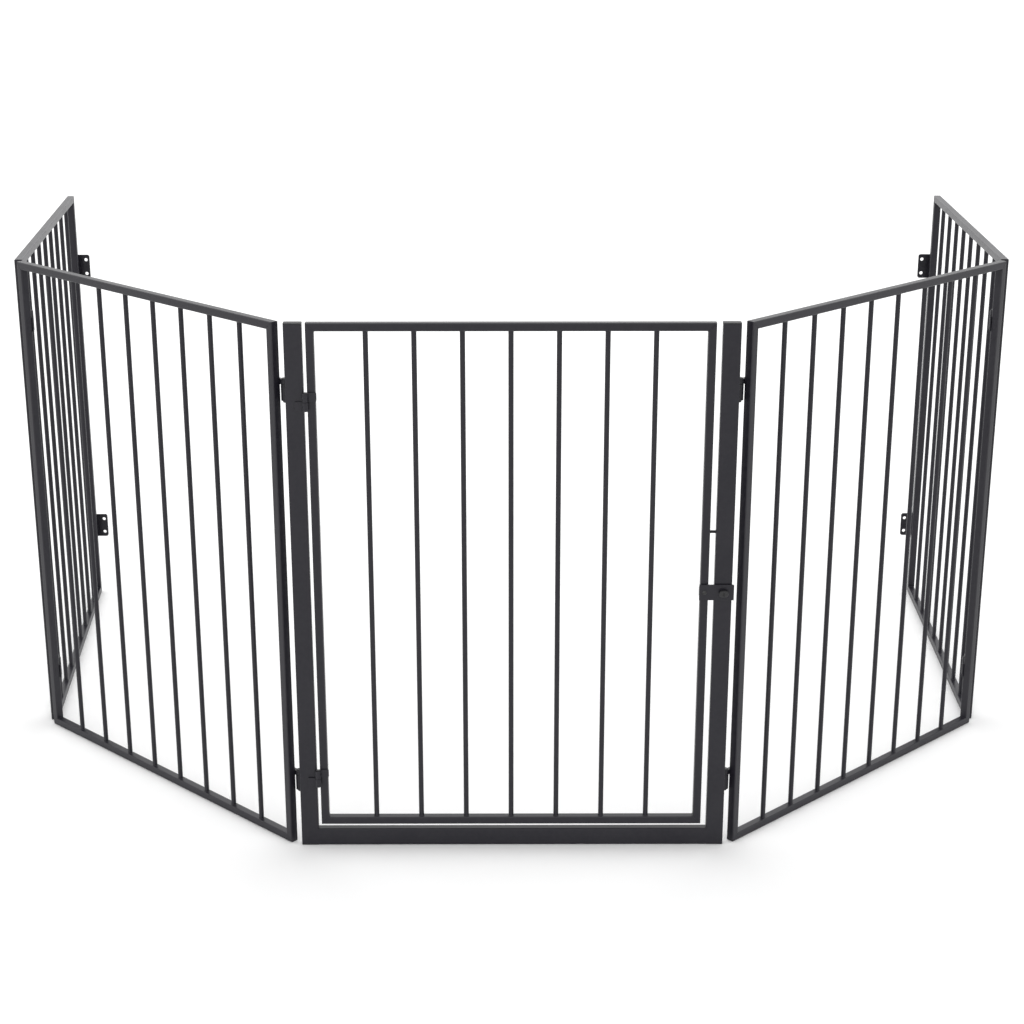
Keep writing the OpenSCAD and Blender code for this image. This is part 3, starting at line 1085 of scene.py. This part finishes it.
@dataclass
class CentreFrame:
    """The U of two posts and a sill that the door and the side panels hang on."""

    joints: Sequence[dict[str, Any]]
    body: str = "centre_frame"
    tube_edge: float = 0.25 * MM
    plug_edge: float = 0.45 * MM
    fitting_edge: float = 0.4 * MM
    flush_fill: float = 1.5 * MM
    sill_weld_inset: float = 2.5 * MM
    stop_weld_inset: float = 3 * MM

    def build(self, shop: Workshop) -> None:
        """Makes the frame's pieces.

        Args:
            shop: Where the pieces are finished.
        """
        for node in ("left_post", "right_post"):
            shop.eased(node, PowderCoat.slot, self.body, self.tube_edge)
        self.sill(shop)
        shop.eased("post_plugs", MouldedPlastic.slot, self.body, self.plug_edge)
        shop.eased("door_hinge_lower_knuckles", PowderCoat.slot, self.body, self.fitting_edge)
        shop.eased("door_hinge_pins", BlackenedSteel.slot, self.body, self.fitting_edge)
        shop.eased("door_stop_pin", PowderCoat.slot, self.body, self.fitting_edge)
        welds = bmesh.new()
        for side in Side:
            pivot = joint_point(f"{side.word}_side_fold", self.joints)
            level = upright_place(side)
            eyes = EyeStrip(f"{side.word}_post_eyes", self.body, Place(pivot, level.along, level.back))
            eyes.build(shop)
            eyes.weld(welds)
        self.weld_sill(welds)
        self.weld_stop(welds)
        shop.piece("centre_frame_welds", welds, PowderCoat.slot, self.body)

    def sill(self, shop: Workshop) -> None:
        """Makes the sill, whose ends fill the grooves at the posts' corners as a weld ground flush does.

        Args:
            shop: Where the piece is finished.
        """
        bm = merged_copy("sill")
        for vert in bm.verts:
            vert.co.x += math.copysign(self.flush_fill, vert.co.x)
        shop.piece("sill_flush", bm, PowderCoat.slot, self.body, ["sill"])

    def weld_sill(self, welds: bmesh.types.BMesh, radius: float = 0.9 * MM) -> None:
        """Adds the beads that join the sill to the posts, on its back and along its top.

        Args:
            welds: The mesh for weld beads.
            radius: The beads' radius.
        """
        low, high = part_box("sill")
        inset = self.sill_weld_inset
        sink = sunk(radius)
        for x in (low.x, high.x):
            bead(welds, Vector((x, high.y - sink, low.z + inset)),
                 Vector((x, high.y - sink, high.z - inset)), radius)
            bead(welds, Vector((x, low.y + inset, high.z - sink)),
                 Vector((x, high.y - inset, high.z - sink)), radius)

    def weld_stop(self, welds: bmesh.types.BMesh, radius: float = 0.8 * MM) -> None:
        """Adds a bead above and below the stop pin, along the post.

        Args:
            welds: The mesh for weld beads.
            radius: The beads' radius.
        """
        low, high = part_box("door_stop_pin")
        post_low, post_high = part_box("right_post")
        y = post_high.y + sunk(radius)
        for z in (low.z + radius, high.z - radius):
            bead(welds, Vector((post_low.x + self.stop_weld_inset, y, z)),
                 Vector((high.x - WELD_MARGIN, y, z)), radius)


@dataclass
class Door:
    """The barred door with its half of the hinges and its latch."""

    body: str = "door"
    bars: int = 7
    fitting_edge: float = 0.4 * MM

    def build(self, shop: Workshop) -> None:
        """Makes the door's pieces.

        Args:
            shop: Where the pieces are finished.
        """
        low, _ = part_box("door_bottom_rail")
        centre = middle("door_bottom_rail")
        level = upright_place(Side.RIGHT)
        place = Place(Vector((low.x, centre.y, 0)), level.along, level.back)
        rim = Rim("door", self.body, place, ("door_hinge_stile", "door_latch_stile"), self.bars)
        rim.build(shop)
        welds = bmesh.new()
        rim.weld_corners(welds)
        welds.transform(place.matrix)
        shop.eased("door_hinge_upper_knuckles", PowderCoat.slot, self.body, self.fitting_edge)
        self.weld_wings(welds)
        shop.piece("door_welds", welds, PowderCoat.slot, self.body)

    def weld_wings(self, welds: bmesh.types.BMesh, radius: float = 0.7 * MM) -> None:
        """Adds a bead down the free edge of each hinge wing.

        Args:
            welds: The mesh for weld beads.
            radius: The beads' radius.
        """
        node = "door_hinge_upper_knuckles"
        _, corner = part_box(node)
        front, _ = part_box("door_hinge_stile")
        for low, high in EyeStrip(node, self.body, upright_place(Side.RIGHT)).heights():
            bead(welds, Vector((corner.x, front.y, low + WELD_MARGIN)),
                 Vector((corner.x, front.y, high - WELD_MARGIN)), radius)


@dataclass
class Latch:
    """The strap across the gap, its rivet, and the thumb knob that turns on its spindle."""

    body: str = "door"
    knob_body: str = "thumb_knob"
    strap_edge: float = 0.45 * MM
    spindle_edge: float = 0.3 * MM
    knob_edge: float = 1.3 * MM
    knob_edge_steps: int = 4
    knob_steps: int = 32
    grip_inset: float = 0.42
    slot_half: float = 0.7 * MM
    slot_depth: float = 1.1 * MM
    neck_height: float = 1.5 * MM
    neck_radius: float = 3.5 * MM
    rivet_steps: int = 32
    rivet_brim: float = 0.25
    dome_steps: int = 6

    def build(self, shop: Workshop) -> None:
        """Makes the latch's pieces.

        Args:
            shop: Where the pieces are finished.
        """
        shop.eased("latch_strap", PowderCoat.slot, self.body, self.strap_edge)
        shop.eased("latch_spindle", BlackenedSteel.slot, self.knob_body, self.spindle_edge)
        self.rivet(shop)
        self.knob(shop)

    def rivet(self, shop: Workshop) -> None:
        """Makes the rivet's domed head.

        Args:
            shop: Where the piece is finished.
        """
        low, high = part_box("latch_rivet")
        radius = (high.x - low.x) / 2
        height = high.y - low.y
        outline = [(0.0, 0.0), (radius, 0.0)]
        for step in range(self.dome_steps + 1):
            angle = step / self.dome_steps * math.pi / 2
            rise = self.rivet_brim + (1 - self.rivet_brim) * math.sin(angle)
            outline.append((radius * math.cos(angle), height * rise))
        bm = bmesh.new()
        lathe(bm, outline, self.rivet_steps)
        centre = middle("latch_rivet")
        forward = Matrix.Translation((centre.x, high.y, centre.z)) @ Matrix.Rotation(math.pi / 2, 4, "X")
        shop.piece("latch_rivet_domed", bm, BlackenedSteel.slot, self.body, ["latch_rivet"], forward)

    def knob(self, shop: Workshop) -> None:
        """Makes the oval thumb knob: a round neck and a rounded grip with a slot across its face.

        Args:
            shop: Where the piece is finished.
        """
        low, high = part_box("latch_knob")
        centre = middle("latch_knob")
        half = (high.z - low.z) / 2
        reach = (high.x - low.x) / 2 - half
        face_z = high.y - low.y
        bm = bmesh.new()
        disc = bmesh.ops.create_circle(bm, cap_ends=True, segments=self.knob_steps, radius=half)
        for vert in disc["verts"]:
            vert.co.x += math.copysign(reach, vert.co.x) if abs(vert.co.x) > MERGE_DIST else 0.0
            vert.co.z += self.neck_height
        front = self.lifted(bm, bm.faces[:][0], face_z - self.neck_height)
        outer = set(front.edges)
        level = self.neck_height + MERGE_DIST
        back = {edge for edge in bm.edges if all(vert.co.z < level for vert in edge.verts)}
        bmesh.ops.inset_individual(bm, faces=[front], thickness=half * self.grip_inset, depth=0.0)
        for x in (-self.slot_half, self.slot_half):
            bmesh.ops.bisect_plane(bm, geom=[front, *front.edges, *front.verts], dist=MERGE_DIST,
                                   plane_co=(x, 0, 0), plane_no=(1, 0, 0))
            flat = [face for face in bm.faces if min(v.co.z for v in face.verts) > face_z - MERGE_DIST]
            front = min(flat, key=lambda face: face.calc_center_median().length_squared)
        self.lifted(bm, front, -self.slot_depth)
        rounded(bm, [edge for edge in outer | back if edge.is_valid], self.knob_edge,
                self.knob_edge_steps)
        lathe(bm, [(0.0, 0.0), (self.neck_radius, 0.0), (self.neck_radius, self.neck_height + MM),
                   (0.0, self.neck_height + MM)], self.knob_steps)
        forward = Matrix.Translation((centre.x, high.y, centre.z)) @ Matrix.Rotation(math.pi / 2, 4, "X")
        shop.piece("latch_knob_moulded", bm, MouldedPlastic.slot, self.knob_body, ["latch_knob"], forward)

    def lifted(self, bm: bmesh.types.BMesh, face: bmesh.types.BMFace,
               height: float) -> bmesh.types.BMFace:
        """Extrudes a face along Z.

        Args:
            bm: The mesh.
            face: The face.
            height: How far it goes; a negative number sinks it.

        Returns:
            The face at its new height.
        """
        made = bmesh.ops.extrude_face_region(bm, geom=[face])["geom"]
        verts = [item for item in made if isinstance(item, bmesh.types.BMVert)]
        bmesh.ops.translate(bm, vec=(0, 0, height), verts=verts)
        if face.is_valid and height < 0:
            bmesh.ops.delete(bm, geom=[face], context="FACES_ONLY")
        return next(item for item in made if isinstance(item, bmesh.types.BMFace))


@dataclass
class WallBracket:
    """A swivel plate that screws to the wall."""

    side: Side
    level: str
    edge: float = 0.4 * MM

    def build(self, shop: Workshop) -> None:
        """Makes the plate.

        Args:
            shop: Where the piece is finished.
        """
        node = f"{self.side.word}_{self.level}_bracket"
        shop.eased(node, PowderCoat.slot, f"{self.side.word}_{self.level}_wall_bracket", self.edge)


@dataclass(frozen=True)
class Softbox:
    """An area light: where it hangs, the point it faces, its size in metres and its power in watts."""

    name: str
    at: tuple[float, float, float]
    aim: tuple[float, float, float]
    size: tuple[float, float]
    power: float

    def hang(self) -> None:
        """Adds the light to the scene, hidden from the camera itself."""
        light = bpy.data.lights.new(self.name, "AREA")
        light.shape = "RECTANGLE"
        light.size, light.size_y = self.size
        light.energy = self.power
        made = bpy.data.objects.new(self.name, light)
        made.location = self.at
        facing = Vector(self.aim) - Vector(self.at)
        made.rotation_euler = facing.to_track_quat("-Z", "Y").to_euler()
        made.visible_camera = False
        bpy.context.scene.collection.objects.link(made)


@dataclass
class Studio:
    """The pale floor, the soft lights and the camera."""

    camera_at: tuple[float, float, float] = (-0.00844, -2.45698, 1.31397)
    pitch: float = 18.501
    yaw: float = 0.186
    focal_mm: float = 68.40
    sensor_mm: float = 36.0
    floor_half: float = 40.0
    floor_drop: float = 0.0005
    sight: float = 200.0
    sky_strength: float = 0.65
    softboxes: tuple[Softbox, ...] = (
        Softbox("overhead_back", (0, 12.7, 2.8), (0, 12.7, 0), (40, 26), 2560),
        Softbox("overhead_front", (0, -13.3, 2.8), (0, -13.3, 0), (40, 26), 980),
        Softbox("low_fill", (-1.2, -4.2, 1.0), (0, 0.0, 0.1), (3, 1.2), 13),
    )

    def build(self, shop: Workshop) -> None:
        """Sets up everything that isn't the gate.

        Args:
            shop: Where the floor's finish comes from.
        """
        self.floor(shop)
        for box in self.softboxes:
            box.hang()
        self.sky()
        self.camera()
        bpy.context.scene.view_settings.view_transform = "Standard"

    def floor(self, shop: Workshop) -> None:
        """Lays the floor.

        Args:
            shop: Where its finish comes from.
        """
        bm = bmesh.new()
        bmesh.ops.create_grid(bm, x_segments=2, y_segments=2, size=self.floor_half)
        bmesh.ops.translate(bm, vec=(0, 0, -self.floor_drop), verts=bm.verts)
        mesh = bpy.data.meshes.new("studio_floor")
        bm.to_mesh(mesh)
        bm.free()
        mesh.materials.append(shop.finishes[StudioFloor.slot])
        made = bpy.data.objects.new("studio_floor", mesh)
        bpy.context.scene.collection.objects.link(made)

    def sky(self) -> None:
        """Fills the room with a dim, even light."""
        world = bpy.data.worlds.new("studio")
        world.use_nodes = True
        ground = world.node_tree.nodes["Background"]
        ground.inputs["Color"].default_value = (1.0, 1.0, 1.0, 1.0)
        ground.inputs["Strength"].default_value = self.sky_strength
        bpy.context.scene.world = world

    def camera(self) -> None:
        """Stands the camera where it sees the gate from the front and above."""
        lens = bpy.data.cameras.new("camera")
        lens.lens = self.focal_mm
        lens.sensor_width = self.sensor_mm
        lens.clip_end = self.sight
        made = bpy.data.objects.new("camera", lens)
        made.location = self.camera_at
        made.rotation_euler = (math.radians(90 - self.pitch), 0.0, math.radians(-self.yaw))
        bpy.context.scene.collection.objects.link(made)
        bpy.context.scene.camera = made


def corners(bounds: Sequence[Vector]) -> list[list[float]]:
    """A box's two corners as plain lists."""
    return [list(corner) for corner in bounds]


def main() -> None:
    """Builds the gate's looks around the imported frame."""
    logging.basicConfig(level=logging.INFO, format="%(message)s")
    # A new file starts with objects of its own
    for leftover in list(bpy.data.objects):
        bpy.data.objects.remove(leftover)
    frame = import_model()
    finishes = (PowderCoat(), MouldedPlastic(), BlackenedSteel(), StudioFloor())
    shop = Workshop({finish.slot: finish.build() for finish in finishes})
    Studio().build(shop)
    joints = frame["joints"]
    CentreFrame(joints).build(shop)
    Door().build(shop)
    Latch().build(shop)
    for side in Side:
        for kind in Kind:
            Panel(side, kind, joints).build(shop)
        for level in ("upper", "lower"):
            WallBracket(side, level).build(shop)
    LOG.info("%d pieces", len(shop.pieces))


if __name__ == "__main__":
    main()
